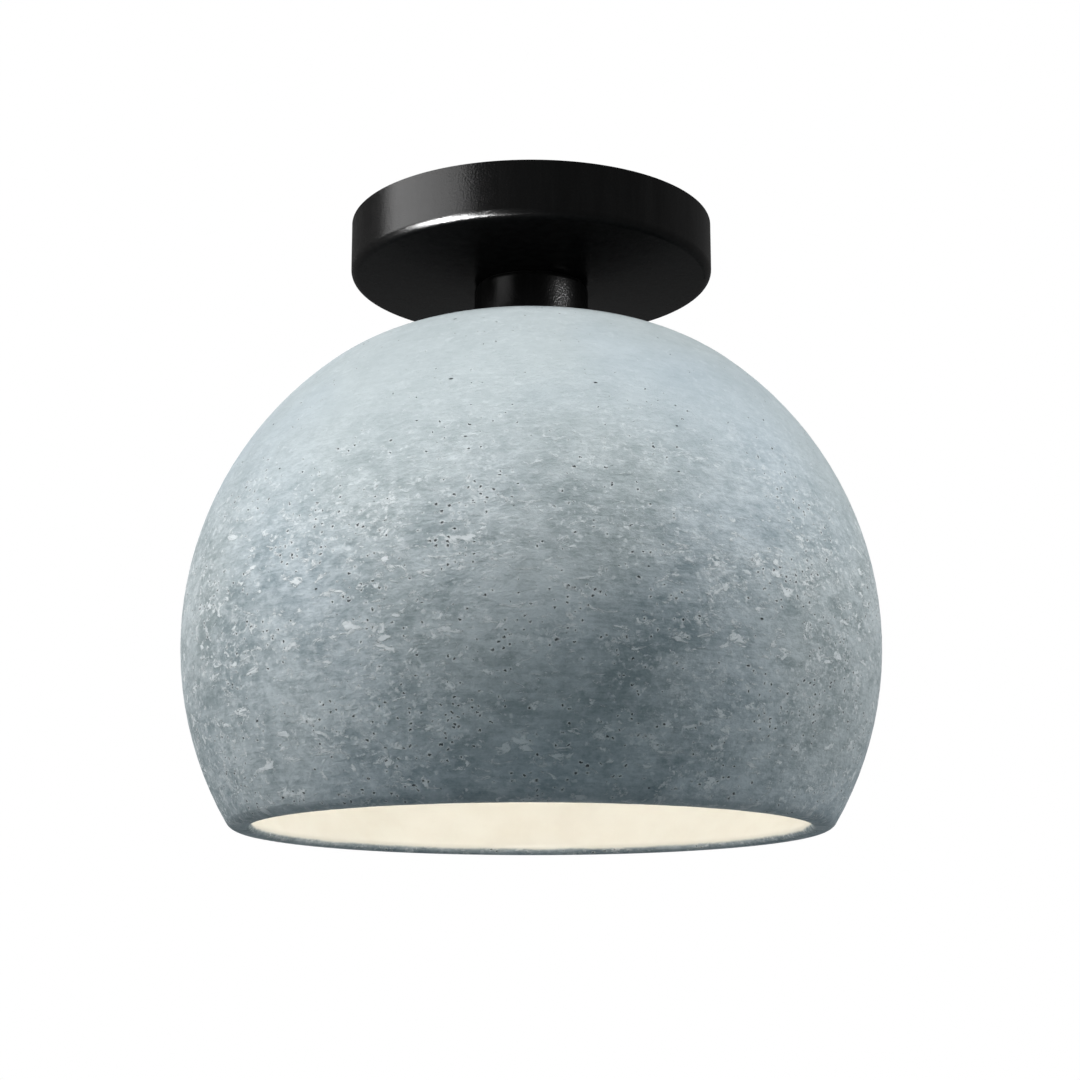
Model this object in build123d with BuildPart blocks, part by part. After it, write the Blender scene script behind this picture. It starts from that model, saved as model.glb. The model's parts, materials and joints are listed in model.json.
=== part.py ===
from build123d import *
import os
from math import cos, sqrt, atan

# Semi flush ceiling light, in millimetres. +Z is up.
# The origin is the centre of the canopy's rim, on the ceiling plane. The light hangs below it.
# Only the box screws, the ground screw and the nipple's end with its locknut reach into the ceiling box.

# ---------------------------------------------------------------------------- driving dimensions

# Clearances
thread_gap = 0.05  # radial play of a piece on its thread
slip_gap = 0.25  # play of a piece that slides or drops in by hand
touch_gap = 0.1  # play left between the lamp's tip and its spring

# Crossbar, the strap that the ceiling box carries
bar_end = 7.55  # from a box screw's axis to the strap's end
bar_width = 22.0
bar_thickness = 2.0
bar_corner_radius = 7.0
bar_lip_length = 54.0
bar_lip_height = 3.0
bar_lip_thickness = 1.5
bar_hub_wall = 2.55
bar_hub_height = 2.6
slot_width = 4.8
slot_travel = 9.0

# Screws of the ceiling box, one at each ear
box_screw_spacing = 88.9
box_thread_radius = 2.08
box_shank_radius = 1.85
box_screw_reach = 14.0
pan_head_radius = 3.9
pan_head_height = 2.5
recess_width = 1.1
recess_depth = 1.3
recess_length_share = 0.55  # of the head's diameter, a crossed recess
head_round_share = 0.6  # of the head's height
tip_bevel_share = 0.35  # of the thread's radius

# Ground screw
ground_screw_offset = 20.0
ground_thread_radius = 2.4
ground_screw_reach = 5.0
ground_flange_radius = 4.8
ground_flange_thickness = 0.9
ground_hex_flats = 6.4
ground_hex_height = 2.6
cut_overrun = 1.0  # how far a driver slot's cut runs past the head

# Nipple, the hollow threaded rod that ties the light together and carries the wires
nipple_radius = 5.0
nipple_bore_radius = 3.5
nipple_rise = 6.5
nipple_bevel = 0.6
nut_flats = 14.0
thin_nut_height = 3.0
clamp_nut_height = 4.0

# Canopy, a spun pan with a slightly coned face, and the plate that stiffens its middle
canopy_radius = 66.7
canopy_depth = 20.5
canopy_wall = 1.0
canopy_edge_radius = 3.0
canopy_cone_drop = 2.4
canopy_seat_margin = 3.5  # the flat seat's width outside the neck
canopy_seat_bend = 10.0
canopy_plate_radius = 20.0
canopy_plate_thickness = 1.5

# Neck, a drawn cup between canopy and shade, and the turned disc that closes it
neck_radius = 21.0
neck_wall = 1.5
neck_length = 18.4
neck_edge_radius = 0.6
neck_base_overhang = 4.5
neck_base_thickness = 1.6
neck_spigot_height = 2.5
neck_spigot_wall = 2.0
crown_gasket_thickness = 1.2
crown_gasket_inset = 0.8

# Shade, one ceramic piece: a truncated globe whose crown flattens to a seat
shade_radius = 123.8
shade_wall = 8.0
shade_height = 179.7
crown_flat_margin = 2.5  # the flat crown's width outside the neck's base
crown_shoulder_radius = 79.2
crown_hole_gap = 1.0  # round the nipple
rim_outer_share = 0.56  # of the wall, the rim's rounding outside
rim_inner_share = 0.3  # of the wall, the rim's rounding inside

# Clamp stack under the crown
inner_gasket_radius = 19.0
inner_gasket_thickness = 1.5
clamp_washer_inset = 1.0
clamp_washer_thickness = 2.0
lock_washer_margin = 3.8  # outside the nipple
lock_washer_thickness = 1.0
lock_ring_width = 1.6
lock_tooth_count = 8
lock_tooth_width = 1.5

# Lampholder bracket, a hat-shaped strap on the nipple's end
bracket_gap = 1.0
bracket_hub_wall = 2.35
bracket_hub_height = 3.4
bracket_width = 15.0
bracket_thickness = 1.4
bracket_bend_radius = 1.9
bracket_rise = 8.0
bracket_foot_inset = 1.4  # from the lampholder's edge
foot_screw_inset = 3.0  # from the foot's end
leg_to_screw = 4.6
set_screw_radius = 1.25
set_screw_proud = 1.6
set_slot_width = 0.5
set_slot_depth = 0.9
foot_screw_radius = 1.6
foot_screw_reach = 8.0
foot_head_radius = 2.4
foot_head_height = 1.8
foot_slot_width = 0.8
slot_depth_share = 0.5  # of the head's height, a straight driver slot

# Porcelain lampholder
socket_height = 42.0
socket_top_wall = 4.2  # outside the screw shell
socket_top_height = 15.0
socket_collar_ledge = 1.5
socket_collar_height = 6.0
socket_foot_wall = 3.55
socket_skirt_taper = 1.4
socket_edge_round = 1.2
socket_floor_depth = 13.0
pocket_width = 11.0
pocket_height = 9.0

# Metal inside the lampholder
terminal_width = 9.0
terminal_height = 8.0
terminal_thickness = 0.8
tongue_inset = 0.4  # from the shell's rounded corner
tongue_width = 4.6
terminal_head_radius = 3.4
terminal_head_height = 2.0
terminal_screw_radius = 1.7
terminal_screw_reach = 3.0
terminal_slot_width = 1.0
terminal_bevel = 0.5
shell_wall = 0.4
shell_bend_radius = 0.8
shell_play = 0.3  # round the lamp's base
shell_length = 27.0
shell_hole_radius = 6.6
rivet_radius = 1.2
rivet_head_radius = 2.0
rivet_head_height = 0.6
rivet_head_round = 0.4
rivet_reach = 3.0
groove_depth = 1.6
spring_drop = 3.5  # from the lampholder's floor down to the spring's face
spring_bend_radius = 1.3
spring_half_flat = 1.2
spring_ramp = 1.4

# Lamp with a medium screw base
lamp_length = 109.0
lamp_tip_radius = 4.6
lamp_tip_height = 1.4
lamp_tip_round = 0.9
insulator_height = 3.4
insulator_top_radius = 5.4
insulator_inset = 2.1  # from the base's outside
insulator_plug_depth = 1.5
base_radius = 13.1
base_wall = 0.35
base_length = 20.6
base_shoulder = 1.3
collar_reach = 5.0
housing_wall = 1.5
housing_neck_step = 0.5  # outside the base
housing_neck_length = 3.0
housing_length = 36.0
diffuser_radius = 30.0
diffuser_wall = 1.2
spigot_height = 3.0
spigot_wall = 1.6
board_thickness = 1.6
chip_count = 12
chip_circle_share = 0.66  # of the board's radius
chip_length = 3.5
chip_width = 2.8
chip_thickness = 0.8

# ---------------------------------------------------------------------------- levels, from the ceiling down

z_bar_under = -bar_thickness
z_canopy_seat = -(canopy_depth + canopy_cone_drop)
z_canopy_web = z_canopy_seat + canopy_wall
z_neck_foot = z_canopy_seat - neck_length
z_base_under = z_neck_foot - neck_base_thickness
z_crown = z_base_under - crown_gasket_thickness
# the globe's centre lies where shoulder and globe touch in one tangent
neck_base_radius = neck_radius + neck_base_overhang
crown_flat_radius = neck_base_radius + crown_flat_margin
shoulder_reach = shade_radius - crown_shoulder_radius
z_shade_centre = z_crown - crown_shoulder_radius - sqrt(shoulder_reach**2 - crown_flat_radius**2)
z_rim = z_crown - shade_height
z_crown_inside = z_crown - shade_wall
z_gasket_under = z_crown_inside - inner_gasket_thickness
z_clamp_under = z_gasket_under - clamp_washer_thickness
z_lock_under = z_clamp_under - lock_washer_thickness
z_nut_under = z_lock_under - clamp_nut_height
z_hub_top = z_nut_under - bracket_gap
z_strap_top = z_hub_top - bracket_hub_height
z_strap_under = z_strap_top - bracket_thickness
z_nipple_foot = z_strap_under + bracket_thickness / 4
z_socket_top = z_strap_under - bracket_rise
z_pocket_floor = z_socket_top - pocket_height
z_socket_floor = z_socket_top - socket_floor_depth
z_groove = z_socket_floor + groove_depth
z_socket_foot = z_socket_top - socket_height
z_spring_face = z_socket_floor - spring_drop
z_lamp_tip = z_spring_face - touch_gap
z_insulator_top = z_lamp_tip - lamp_tip_height
z_lamp_base_top = z_insulator_top - insulator_height
z_lamp_base_foot = z_lamp_base_top - base_length
z_housing_foot = z_lamp_base_foot - housing_length
z_lamp_foot = z_lamp_tip - lamp_length
z_diffuser_centre = z_lamp_foot + diffuser_radius

# ---------------------------------------------------------------------------- sizes that follow

thread_hole_radius = nipple_radius + thread_gap
pass_hole_radius = nipple_radius + slip_gap
crown_hole_radius = nipple_radius + crown_hole_gap
lock_washer_radius = nipple_radius + lock_washer_margin
bar_hub_radius = thread_hole_radius + bar_hub_wall
bracket_hub_radius = thread_hole_radius + bracket_hub_wall
canopy_seat_radius = neck_radius + canopy_seat_margin
neck_spigot_radius = neck_radius - neck_wall - slip_gap
bar_length = box_screw_spacing + 2 * bar_end
shell_inner_radius = base_radius + shell_play
shell_radius = shell_inner_radius + shell_wall
rivet_offset = (shell_hole_radius + shell_radius) / 2
socket_top_radius = shell_radius + socket_top_wall
socket_foot_radius = shell_radius + slip_gap + socket_foot_wall
socket_skirt_radius = socket_foot_radius + socket_skirt_taper
socket_collar_radius = socket_skirt_radius + socket_collar_ledge
pocket_back = shell_radius - shell_bend_radius - tongue_inset - terminal_thickness
pocket_depth = socket_top_radius - pocket_back
bracket_half_foot = socket_top_radius - bracket_foot_inset
foot_screw_offset = bracket_half_foot - foot_screw_inset
bracket_half_leg = foot_screw_offset - leg_to_screw
insulator_foot_radius = base_radius - insulator_inset
housing_neck_radius = base_radius + housing_neck_step
ground_place = (-ground_screw_offset, 0)
box_screw_places = [(-box_screw_spacing / 2, 0), (box_screw_spacing / 2, 0)]
foot_screw_places = [(-foot_screw_offset, 0), (foot_screw_offset, 0)]
rivet_places = [(-rivet_offset, 0), (rivet_offset, 0)]
z_terminal_screw = z_pocket_floor + terminal_height / 2
housing_rise = z_housing_foot - z_diffuser_centre
housing_rim_radius = sqrt(diffuser_radius**2 - housing_rise**2)
housing_slope = housing_rise / housing_rim_radius
housing_rim_inner = housing_rim_radius - housing_wall / cos(atan(housing_slope))
spigot_radius = housing_rim_inner - spigot_height * housing_slope - slip_gap
board_radius = housing_rim_inner - (spigot_height + board_thickness) * housing_slope - slip_gap

os.makedirs("parts", exist_ok=True)


def save(piece, name):
    """Label a finished piece and write it as its own STEP file."""
    piece.part.label = name
    export_step(piece.part, f"parts/{name}.step")


def washer(z_top, outer_radius, hole_radius, thickness):
    """A flat ring whose upper face lies at z_top."""
    with BuildPart() as ring:
        with BuildSketch(Plane.XY.offset(z_top)):
            Circle(outer_radius)
            Circle(hole_radius, mode=Mode.SUBTRACT)
        extrude(amount=-thickness)
    return ring


def terminal_plane(side, reach):
    """The upright plane facing away from the axis at a terminal screw, towards -Y or +Y."""
    origin = (0, side * reach, z_terminal_screw)
    return Plane(origin=origin, x_dir=(1, 0, 0), z_dir=(0, side, 0))


def hex_nut(z_under, height):
    """A nut on the nipple's thread, with its corners turned off at both faces."""
    corner_radius = nut_flats / sqrt(3)
    bevel = corner_radius - nut_flats / 2
    with BuildPart() as nut:
        with BuildSketch(Plane.XY.offset(z_under)):
            RegularPolygon(corner_radius, 6)
        extrude(amount=height)
        with BuildSketch(Plane.XZ):
            with BuildLine():
                Polyline(
                    (0, z_under),
                    (corner_radius - bevel, z_under),
                    (corner_radius, z_under + bevel / 2),
                    (corner_radius, z_under + height - bevel / 2),
                    (corner_radius - bevel, z_under + height),
                    (0, z_under + height),
                    close=True,
                )
            make_face()
        revolve(axis=Axis.Z, mode=Mode.INTERSECT)
        with BuildSketch(Plane.XY.offset(z_under)):
            Circle(thread_hole_radius)
        extrude(amount=height, mode=Mode.SUBTRACT)
    return nut


# ---------------------------------------------------------------------------- ceiling hardware

slot_centre = box_screw_spacing / 2 - slot_travel / 4
with BuildPart() as crossbar:
    with BuildSketch() as bar_plan:
        Rectangle(bar_length, bar_width)
        fillet(bar_plan.vertices(), bar_corner_radius)
        with Locations((-slot_centre, 0), (slot_centre, 0)):
            SlotCenterToCenter(slot_travel, slot_width, mode=Mode.SUBTRACT)
        with Locations(ground_place):
            Circle(ground_thread_radius + thread_gap, mode=Mode.SUBTRACT)
    extrude(amount=-bar_thickness)
    # lips bent down along both edges stiffen the middle of the strap
    with BuildSketch(Plane.XY.offset(z_bar_under)):
        with GridLocations(0, bar_width - bar_lip_thickness, 1, 2):
            Rectangle(bar_lip_length, bar_lip_thickness)
    extrude(amount=-bar_lip_height)
    # the raised hub gives the nipple's thread its length
    with BuildSketch(Plane.XY.offset(z_bar_under)):
        Circle(bar_hub_radius)
    extrude(amount=-bar_hub_height)
    with BuildSketch():
        Circle(thread_hole_radius)
    extrude(amount=-(bar_thickness + bar_hub_height), mode=Mode.SUBTRACT)
save(crossbar, "crossbar")

recess_length = 2 * pan_head_radius * recess_length_share
with BuildPart() as box_screws:
    with BuildSketch(Plane.XY.offset(z_bar_under)):
        with Locations(*box_screw_places):
            Circle(pan_head_radius)
    extrude(amount=-pan_head_height)
    fillet(box_screws.edges().group_by(Axis.Z)[0], pan_head_height * head_round_share)
    with BuildSketch(Plane.XY.offset(z_bar_under)):
        with Locations(*box_screw_places):
            Circle(box_shank_radius)
    extrude(amount=bar_thickness)
    with BuildSketch():
        with Locations(*box_screw_places):
            Circle(box_thread_radius)
    extrude(amount=box_screw_reach)
    chamfer(box_screws.edges().group_by(Axis.Z)[-1], box_thread_radius * tip_bevel_share)
    # crossed driver recess
    with BuildSketch(Plane.XY.offset(z_bar_under - pan_head_height)):
        with Locations(*box_screw_places):
            Rectangle(recess_length, recess_width)
            Rectangle(recess_width, recess_length)
    extrude(amount=recess_depth, mode=Mode.SUBTRACT)
save(box_screws, "box_screws")

ground_hex_corner = ground_hex_flats / sqrt(3)
z_ground_hex = z_bar_under - ground_flange_thickness - ground_hex_height
with BuildPart() as ground_screw:
    with BuildSketch(Plane.XY.offset(z_bar_under)):
        with Locations(ground_place):
            Circle(ground_thread_radius)
    extrude(amount=bar_thickness + ground_screw_reach)
    chamfer(ground_screw.edges().group_by(Axis.Z)[-1], ground_thread_radius * tip_bevel_share)
    with BuildSketch(Plane.XY.offset(z_bar_under)):
        with Locations(ground_place):
            Circle(ground_flange_radius)
    extrude(amount=-ground_flange_thickness)
    with BuildSketch(Plane.XY.offset(z_ground_hex)):
        with Locations(ground_place):
            RegularPolygon(ground_hex_corner, 6)
    extrude(amount=ground_hex_height)
    with BuildSketch(Plane.XY.offset(z_ground_hex)):
        with Locations(ground_place):
            Rectangle(2 * (ground_hex_corner + cut_overrun), recess_width)
    extrude(amount=recess_depth, mode=Mode.SUBTRACT)
save(ground_screw, "ground_screw")

with BuildPart() as nipple:
    with BuildSketch(Plane.XY.offset(nipple_rise)):
        Circle(nipple_radius)
        Circle(nipple_bore_radius, mode=Mode.SUBTRACT)
    extrude(amount=z_nipple_foot - nipple_rise)
    chamfer(nipple.edges().filter_by(GeomType.CIRCLE).sort_by(SortBy.RADIUS)[-2:], nipple_bevel)
save(nipple, "nipple")

save(hex_nut(0, thin_nut_height), "crossbar_locknut")

# ---------------------------------------------------------------------------- canopy

with BuildPart() as canopy:
    with BuildSketch(Plane.XZ):
        with BuildLine():
            FilletPolyline(
                (pass_hole_radius, z_canopy_seat),
                (canopy_seat_radius, z_canopy_seat),
                (canopy_radius, -canopy_depth),
                (canopy_radius, 0),
                radius=(canopy_seat_bend, canopy_edge_radius),
            )
            offset(amount=canopy_wall, side=Side.LEFT)
        make_face()
    revolve(axis=Axis.Z)
save(canopy, "canopy")

z_plate_top = z_canopy_web + canopy_plate_thickness
save(washer(z_plate_top, canopy_plate_radius, pass_hole_radius, canopy_plate_thickness), "canopy_plate")

# ---------------------------------------------------------------------------- neck

with BuildPart() as neck_tube:
    with BuildSketch(Plane.XZ):
        with BuildLine():
            FilletPolyline(
                (neck_radius, z_neck_foot),
                (neck_radius, z_canopy_seat),
                (pass_hole_radius, z_canopy_seat),
                radius=neck_edge_radius + neck_wall,
            )
            offset(amount=neck_wall, side=Side.LEFT)
        make_face()
    revolve(axis=Axis.Z)
save(neck_tube, "neck_tube")

with BuildPart() as neck_base:
    with BuildSketch(Plane.XY.offset(z_neck_foot)):
        Circle(neck_base_radius)
    extrude(amount=-neck_base_thickness)
    chamfer(neck_base.edges().group_by(Axis.Z)[-1], neck_base_thickness / 3)
    # the spigot centres the tube
    with BuildSketch(Plane.XY.offset(z_neck_foot)):
        Circle(neck_spigot_radius)
        Circle(neck_spigot_radius - neck_spigot_wall, mode=Mode.SUBTRACT)
    extrude(amount=neck_spigot_height)
    with BuildSketch(Plane.XY.offset(z_neck_foot)):
        Circle(pass_hole_radius)
    extrude(amount=-neck_base_thickness, mode=Mode.SUBTRACT)
save(neck_base, "neck_base")

gasket_radius = neck_base_radius - crown_gasket_inset
save(washer(z_base_under, gasket_radius, crown_hole_radius, crown_gasket_thickness), "crown_gasket")

# ---------------------------------------------------------------------------- shade

shade_centre = Vector(0, z_shade_centre)
shoulder_centre = Vector(crown_flat_radius, z_crown - crown_shoulder_radius)
shoulder_direction = (shoulder_centre - shade_centre).normalized()


def shade_line(inset):
    """Crown flat, shoulder and globe as one smooth line, this far inside the outer face."""
    radius = shade_radius - inset
    rim_reach = sqrt(radius**2 - (z_rim - z_shade_centre) ** 2)
    flat = Line((crown_hole_radius, z_crown - inset), (crown_flat_radius, z_crown - inset))
    shoulder = TangentArc(flat @ 1, shade_centre + shoulder_direction * radius, tangent=flat % 1)
    return TangentArc(shoulder @ 1, (rim_reach, z_rim), tangent=shoulder % 1)


with BuildPart() as shade:
    with BuildSketch(Plane.XZ) as shade_section:
        with BuildLine():
            outside = shade_line(0)
            inside = shade_line(shade_wall)
            Line((crown_hole_radius, z_crown), (crown_hole_radius, z_crown_inside))
            Line(outside @ 1, inside @ 1)
        make_face()
        rim_corners = shade_section.vertices().group_by(Axis.Y)[0].sort_by(Axis.X)
        fillet(rim_corners[-1], shade_wall * rim_outer_share)
        rim_corners = shade_section.vertices().group_by(Axis.Y)[0].sort_by(Axis.X)
        fillet(rim_corners[0], shade_wall * rim_inner_share)
    revolve(axis=Axis.Z)
save(shade, "shade")

# ---------------------------------------------------------------------------- clamp stack under the crown

clamp_radius = inner_gasket_radius - clamp_washer_inset
save(washer(z_crown_inside, inner_gasket_radius, crown_hole_radius, inner_gasket_thickness), "inner_gasket")
save(washer(z_gasket_under, clamp_radius, pass_hole_radius, clamp_washer_thickness), "clamp_washer")

tooth_start = pass_hole_radius
tooth_end = lock_washer_radius - lock_ring_width / 2
with BuildPart() as lock_washer:
    with BuildSketch(Plane.XY.offset(z_clamp_under)):
        Circle(lock_washer_radius)
        Circle(lock_washer_radius - lock_ring_width, mode=Mode.SUBTRACT)
        with PolarLocations((tooth_start + tooth_end) / 2, lock_tooth_count):
            Rectangle(tooth_end - tooth_start, lock_tooth_width)
    extrude(amount=-lock_washer_thickness)
save(lock_washer, "lock_washer")

save(hex_nut(z_nut_under, clamp_nut_height), "clamp_nut")

# ---------------------------------------------------------------------------- lampholder bracket

inner_bend = bracket_bend_radius - bracket_thickness
z_set_screw = z_strap_top + bracket_hub_height / 2
with BuildPart() as socket_bracket:
    with BuildSketch(Plane.XZ):
        with BuildLine():
            FilletPolyline(
                (-bracket_half_foot, z_socket_top),
                (-bracket_half_leg, z_socket_top),
                (-bracket_half_leg, z_strap_under),
                (bracket_half_leg, z_strap_under),
                (bracket_half_leg, z_socket_top),
                (bracket_half_foot, z_socket_top),
                radius=(bracket_bend_radius, inner_bend, inner_bend, bracket_bend_radius),
            )
            offset(amount=bracket_thickness, side=Side.LEFT)
        make_face()
    extrude(amount=bracket_width / 2, both=True)
    with BuildSketch(Plane.XY.offset(z_strap_top)):
        Circle(bracket_hub_radius)
    extrude(amount=bracket_hub_height)
    with BuildSketch(Plane.XY.offset(z_hub_top)):
        Circle(thread_hole_radius)
    extrude(amount=-(bracket_hub_height + bracket_thickness), mode=Mode.SUBTRACT)
    with BuildSketch(Plane.XY.offset(z_socket_top)):
        with Locations(*foot_screw_places):
            Circle(foot_screw_radius + thread_gap)
    extrude(amount=bracket_thickness, mode=Mode.SUBTRACT)
    with BuildSketch(Plane.XZ):
        with Locations((0, z_set_screw)):
            Circle(set_screw_radius + thread_gap)
    extrude(amount=bracket_hub_radius, mode=Mode.SUBTRACT)
save(socket_bracket, "socket_bracket")

with BuildPart() as set_screw:
    with BuildSketch(Plane.XZ.offset(nipple_radius)):
        with Locations((0, z_set_screw)):
            Circle(set_screw_radius)
    extrude(amount=bracket_hub_radius + set_screw_proud - nipple_radius)
    chamfer(set_screw.edges().group_by(Axis.Y)[0], set_screw_radius * tip_bevel_share)
    with BuildSketch(Plane.XZ.offset(bracket_hub_radius + set_screw_proud)):
        with Locations((0, z_set_screw)):
            Rectangle(2 * (set_screw_radius + cut_overrun), set_slot_width)
    extrude(amount=-set_slot_depth, mode=Mode.SUBTRACT)
save(set_screw, "set_screw")

z_foot_top = z_socket_top + bracket_thickness
with BuildPart() as bracket_screws:
    with BuildSketch(Plane.XY.offset(z_foot_top)):
        with Locations(*foot_screw_places):
            Circle(foot_head_radius)
    extrude(amount=foot_head_height)
    fillet(bracket_screws.edges().group_by(Axis.Z)[-1], foot_head_height * head_round_share)
    with BuildSketch(Plane.XY.offset(z_foot_top)):
        with Locations(*foot_screw_places):
            Circle(foot_screw_radius)
    extrude(amount=-(bracket_thickness + foot_screw_reach))
    with BuildSketch(Plane.XY.offset(z_foot_top + foot_head_height)):
        with Locations(*foot_screw_places):
            Rectangle(2 * (foot_head_radius + cut_overrun), foot_slot_width)
    extrude(amount=-foot_head_height * slot_depth_share, mode=Mode.SUBTRACT)
save(bracket_screws, "bracket_screws")

# ---------------------------------------------------------------------------- porcelain lampholder

z_collar_top = z_socket_top - socket_top_height
z_collar_foot = z_collar_top - socket_collar_height
slot_back = pocket_back - terminal_thickness
slot_front = pocket_back + terminal_thickness + slip_gap
with BuildPart() as socket_body:
    with BuildSketch(Plane.XZ):
        with BuildLine():
            FilletPolyline(
                (0, z_socket_top),
                (socket_top_radius, z_socket_top),
                (socket_top_radius, z_collar_top),
                (socket_collar_radius, z_collar_top),
                (socket_collar_radius, z_collar_foot),
                (socket_skirt_radius, z_collar_foot),
                (socket_foot_radius, z_socket_foot),
                (shell_radius + slip_gap, z_socket_foot),
                (shell_radius + slip_gap, z_socket_floor),
                (0, z_socket_floor),
                radius=(
                    socket_edge_round,
                    0,
                    socket_edge_round,
                    socket_edge_round,
                    0,
                    socket_edge_round,
                    0,
                    0,
                ),
            )
            Line((0, z_socket_floor), (0, z_socket_top))
        make_face()
    revolve(axis=Axis.Z)
    # terminal pockets, open at the top and to the side
    with BuildSketch(Plane.XY.offset(z_pocket_floor)):
        for side in (-1, 1):
            with Locations((0, side * (pocket_back + pocket_depth))):
                Rectangle(pocket_width, pocket_depth * 2)
    extrude(amount=pocket_height, mode=Mode.SUBTRACT)
    # slots down to the floor for the two tongues
    with BuildSketch(Plane.XY.offset(z_socket_floor)):
        for side in (-1, 1):
            with Locations((0, side * (slot_back + slot_front) / 2)):
                Rectangle(tongue_width + 2 * slip_gap, slot_front - slot_back)
    extrude(amount=z_pocket_floor - z_socket_floor, mode=Mode.SUBTRACT)
    # groove in the floor for the spring contact
    with BuildSketch(Plane.XY.offset(z_socket_floor)):
        Circle(shell_hole_radius - touch_gap)
        with Locations((0, -slot_front / 2)):
            Rectangle(tongue_width + 2 * slip_gap, slot_front)
    extrude(amount=groove_depth, mode=Mode.SUBTRACT)
    # holes of the foot screws and the rivets
    with BuildSketch(Plane.XY.offset(z_socket_top)):
        with Locations(*foot_screw_places):
            Circle(foot_screw_radius + thread_gap)
    extrude(amount=-(foot_screw_reach + slip_gap), mode=Mode.SUBTRACT)
    with BuildSketch(Plane.XY.offset(z_socket_floor)):
        with Locations(*rivet_places):
            Circle(rivet_radius + thread_gap)
    extrude(amount=rivet_reach + slip_gap, mode=Mode.SUBTRACT)
    # holes of the terminal screws, in the back of both pockets
    for side in (-1, 1):
        with BuildSketch(terminal_plane(side, pocket_back)):
            Circle(terminal_screw_radius + thread_gap)
        extrude(amount=-(terminal_screw_reach + slip_gap), mode=Mode.SUBTRACT)
save(socket_body, "socket_body")

with BuildPart() as screw_shell:
    with BuildSketch(Plane.XZ):
        with BuildLine():
            FilletPolyline(
                (shell_radius, z_socket_floor - shell_length),
                (shell_radius, z_socket_floor),
                (shell_hole_radius, z_socket_floor),
                radius=shell_bend_radius,
            )
            offset(amount=shell_wall, side=Side.LEFT)
        make_face()
    revolve(axis=Axis.Z)
    with BuildSketch(Plane.XY.offset(z_socket_floor)):
        with Locations(*rivet_places):
            Circle(rivet_radius + thread_gap)
    extrude(amount=-shell_wall, mode=Mode.SUBTRACT)
save(screw_shell, "screw_shell")

with BuildPart() as shell_rivets:
    with BuildSketch(Plane.XY.offset(z_socket_floor - shell_wall)):
        with Locations(*rivet_places):
            Circle(rivet_head_radius)
    extrude(amount=-rivet_head_height)
    fillet(shell_rivets.edges().group_by(Axis.Z)[0], rivet_head_round)
    with BuildSketch(Plane.XY.offset(z_socket_floor - shell_wall)):
        with Locations(*rivet_places):
            Circle(rivet_radius)
    extrude(amount=shell_wall + rivet_reach)
save(shell_rivets, "shell_rivets")

z_terminal_top = z_pocket_floor + terminal_height
spring_low = z_spring_face + terminal_thickness
spring_turn = spring_bend_radius - terminal_thickness
with BuildPart() as centre_contact:
    with BuildSketch(Plane.YZ):
        with BuildLine():
            FilletPolyline(
                (-pocket_back, z_terminal_top),
                (-pocket_back, z_groove),
                (-spring_half_flat - spring_ramp, z_groove),
                (-spring_half_flat, spring_low),
                (spring_half_flat, spring_low),
                (spring_half_flat + spring_ramp, spring_low + spring_ramp),
                radius=(spring_turn, spring_bend_radius, spring_turn, spring_turn),
            )
            offset(amount=terminal_thickness, side=Side.RIGHT)
        make_face()
    extrude(amount=tongue_width / 2, both=True)
    # the terminal is wider than the tongue
    with BuildSketch(Plane.XZ.offset(pocket_back)):
        with Locations((0, (z_pocket_floor + slip_gap + z_terminal_top) / 2)):
            Rectangle(terminal_width, terminal_height - slip_gap)
    extrude(amount=terminal_thickness)
    with BuildSketch(Plane.XZ):
        with Locations((0, z_terminal_screw)):
            Circle(terminal_screw_radius + thread_gap)
    extrude(amount=socket_top_radius, mode=Mode.SUBTRACT)
save(centre_contact, "centre_contact")

with BuildPart() as shell_terminal:
    with BuildSketch(Plane.XZ.offset(-pocket_back)):
        with Locations((0, (z_pocket_floor + slip_gap + z_terminal_top) / 2)):
            Rectangle(terminal_width, terminal_height - slip_gap)
        with Locations((0, (z_socket_floor + z_terminal_top) / 2)):
            Rectangle(tongue_width, z_terminal_top - z_socket_floor)
        with Locations((0, z_terminal_screw)):
            Circle(terminal_screw_radius + thread_gap, mode=Mode.SUBTRACT)
    extrude(amount=-terminal_thickness)
save(shell_terminal, "shell_terminal")

for name, side in (("hot_screw", -1), ("neutral_screw", 1)):
    head_seat = terminal_plane(side, pocket_back + terminal_thickness)
    head_top = head_seat.offset(terminal_head_height)
    with BuildPart() as terminal_screw:
        with BuildSketch(head_seat):
            Circle(terminal_head_radius)
        extrude(amount=terminal_head_height)
        outermost = terminal_screw.faces().sort_by_distance(head_top.origin)[0]
        chamfer(outermost.edges(), terminal_bevel)
        with BuildSketch(head_seat):
            Circle(terminal_screw_radius)
        extrude(amount=-(terminal_thickness + terminal_screw_reach))
        with BuildSketch(head_top):
            Rectangle(2 * (terminal_head_radius + cut_overrun), terminal_slot_width)
        extrude(amount=-terminal_head_height * slot_depth_share, mode=Mode.SUBTRACT)
    save(terminal_screw, name)

# ---------------------------------------------------------------------------- lamp

with BuildPart() as lamp_tip:
    with BuildSketch(Plane.XY.offset(z_insulator_top)):
        Circle(lamp_tip_radius)
    extrude(amount=lamp_tip_height)
    fillet(lamp_tip.edges().group_by(Axis.Z)[-1], lamp_tip_round)
save(lamp_tip, "lamp_tip")

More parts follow.
